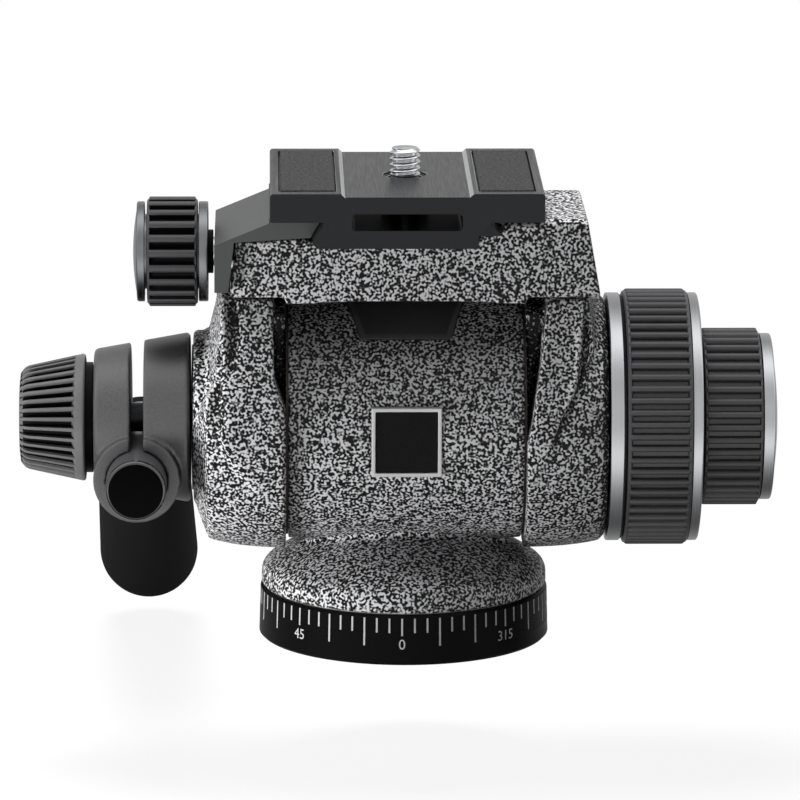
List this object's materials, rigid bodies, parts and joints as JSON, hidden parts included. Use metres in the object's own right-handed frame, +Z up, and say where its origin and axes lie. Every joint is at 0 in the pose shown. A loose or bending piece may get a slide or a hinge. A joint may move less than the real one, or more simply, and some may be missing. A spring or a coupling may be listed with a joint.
{
  "type": "fluid video head",
  "caption": "Fluid video head with a graduated pan base, a tilting cradle, coaxial lock and drag knobs, a dovetail camera plate in a screw clamp, and a bent pan bar.",
  "frame": {"origin": "mouth of the tripod socket, at the centre of the base's underside", "axes": "+Z up along the pan axis, +X to the right seen from the front and along the tilt axis, -Y to the front"},
  "size_m": [0.1564, 0.1576, 0.1232],
  "materials": {
    "speckle_enamel": "cast, grey and black speckled enamel, satin gloss",
    "black_anodised": "black anodised, satin",
    "grey_anodised": "dark grey anodised, satin",
    "jaw_anodised": "mid grey anodised, satin",
    "satin_silver": "turned, satin",
    "bright_steel": "turned steel",
    "dark_steel": "blackened steel",
    "bronze": "sintered bronze",
    "black_rubber": "moulded rubber, matt",
    "black_powder": "black powder coat, satin",
    "black_plastic": "moulded black plastic",
    "gloss_black": "gloss black plastic",
    "badge_black": "black leather-grained plate",
    "white_acetal": "acetal",
    "friction_lining": "brake lining"
  },
  "bodies": {
    "base": {"base_ring": "black_anodised", "pan_spindle": "bright_steel", "spindle_screws": "dark_steel", "thrust_ring": "white_acetal", "pan_drag_ring": "bronze", "pan_washer": "bright_steel", "pan_nut": "bright_steel"},
    "pan_body": {"pan_housing": "speckle_enamel", "pan_bush": "bronze", "badge_frame": "satin_silver", "badge_plate": "badge_black", "pocket_liner": "black_plastic", "tilt_bush_left": "bronze", "tilt_bush_right": "bronze", "tilt_end_cap": "black_anodised", "tilt_drag_cup": "black_anodised"},
    "cradle": {"left_cheek": "speckle_enamel", "right_cheek": "speckle_enamel", "platform": "speckle_enamel", "cradle_screws": "dark_steel", "tilt_axle": "bright_steel", "axle_nut": "bright_steel", "drag_rotor": "satin_silver", "rotor_pin": "dark_steel", "drag_rod": "bright_steel", "friction_washer_left": "friction_lining", "friction_washer_right": "friction_lining", "handle_hub": "black_anodised", "handle_stud": "bright_steel"},
    "lock_knob": {"lock_knob_core": "satin_silver", "lock_knob_grip": "black_rubber", "lock_knob_ring": "satin_silver"},
    "drag_knob": {"drag_knob_core": "black_anodised", "drag_knob_grip": "black_rubber", "drag_knob_cap": "satin_silver"},
    "jaw": {"clamp_jaw": "jaw_anodised", "jaw_guide_pins": "bright_steel"},
    "clamp_knob": {"clamp_screw": "bright_steel", "clamp_knob_core": "satin_silver", "clamp_knob_grip": "black_rubber", "clamp_knob_cap": "satin_silver"},
    "plate": {"camera_plate": "grey_anodised", "pad_left": "black_rubber", "pad_right": "black_rubber"},
    "plate_screw": {"camera_screw": "bright_steel", "screw_clip": "dark_steel"},
    "bar_clamp": {"bar_clamp": "black_powder"},
    "cone_knob": {"cone_knob": "black_plastic", "cone_knob_insert": "bronze", "cone_knob_neck": "black_plastic"},
    "bar": {"pan_bar": "black_powder", "bar_end_plug": "gloss_black", "bar_grip": "black_rubber"}
  },
  "joints": [
    {"name": "pan", "type": "hinge", "parent": "base", "child": "pan_body", "pos_m": [0, 0, 0], "axis": [0, 0, 1], "continuous": true},
    {"name": "tilt", "type": "hinge", "parent": "pan_body", "child": "cradle", "pos_m": [0, 0, 0.04545], "axis": [1, 0, 0], "range_deg": [-75, 90]},
    {"name": "lock_knob_turn", "type": "hinge", "parent": "cradle", "child": "lock_knob", "pos_m": [0.05, 0, 0.04545], "axis": [1, 0, 0], "range_deg": [0, 270]},
    {"name": "drag_knob_turn", "type": "hinge", "parent": "cradle", "child": "drag_knob", "pos_m": [0.067, 0, 0.04545], "axis": [1, 0, 0], "range_deg": [-135, 135]},
    {"name": "jaw_slide", "type": "slide", "parent": "cradle", "child": "jaw", "axis": [-1, 0, 0], "range_m": [0, 0.004]},
    {"name": "clamp_knob_turn", "type": "hinge", "parent": "jaw", "child": "clamp_knob", "pos_m": [-0.047, 0, 0.0803], "axis": [-1, 0, 0], "range_deg": [0, 1153]},
    {"name": "plate_slide", "type": "slide", "parent": "cradle", "child": "plate", "axis": [0, 1, 0], "range_m": [-0.012, 0.012]},
    {"name": "camera_screw_turn", "type": "hinge", "parent": "plate", "child": "plate_screw", "pos_m": [0, 0, 0.098], "axis": [0, 0, 1], "continuous": true},
    {"name": "bar_clamp_turn", "type": "hinge", "parent": "cradle", "child": "bar_clamp", "pos_m": [-0.054, 0, 0.04545], "axis": [1, 0, 0], "range_deg": [-60, 60]},
    {"name": "cone_knob_turn", "type": "hinge", "parent": "cradle", "child": "cone_knob", "pos_m": [-0.072, 0, 0.04545], "axis": [-1, 0, 0], "range_deg": [0, 540]},
    {"name": "bar_slide", "type": "slide", "parent": "bar_clamp", "child": "bar", "axis": [0, 1, 0], "range_m": [-0.007, 0.008]}
  ],
  "couplings": [
    {"joint": "clamp_knob_turn", "follows": "jaw_slide", "rad_per_m": 5026.5}
  ]
}
